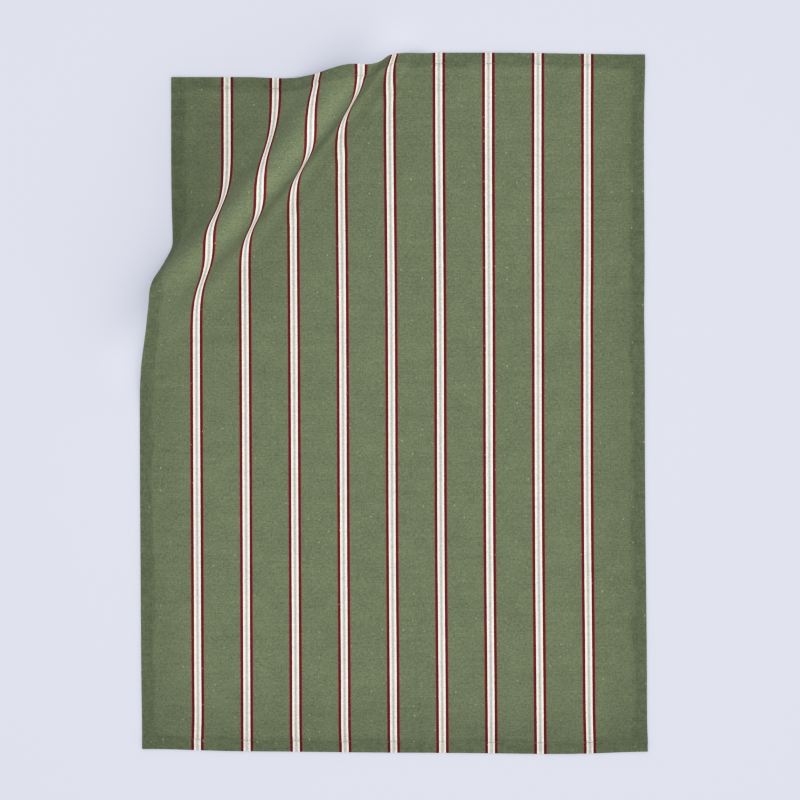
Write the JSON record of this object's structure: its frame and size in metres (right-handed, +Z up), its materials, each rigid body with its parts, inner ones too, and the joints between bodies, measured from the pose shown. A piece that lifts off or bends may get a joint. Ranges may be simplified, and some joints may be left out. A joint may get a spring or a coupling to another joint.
{
  "type": "tea towel",
  "caption": "Hemmed cotton tea towel with lengthwise stripes, laid flat with one corner pushed in so that a soft ridge stands across it.",
  "frame": {"origin": "on the surface it lies on, under the middle of the outline", "axes": "+Y along the towel's length towards the end with the ridge, +X across it to the right seen from above, +Z up"},
  "size_m": [0.507, 0.7012, 0.0443],
  "materials": {
    "cotton": "matt plain weave"
  },
  "bodies": {
    "root": {"towel": "cotton"}
  },
  "joints": []
}
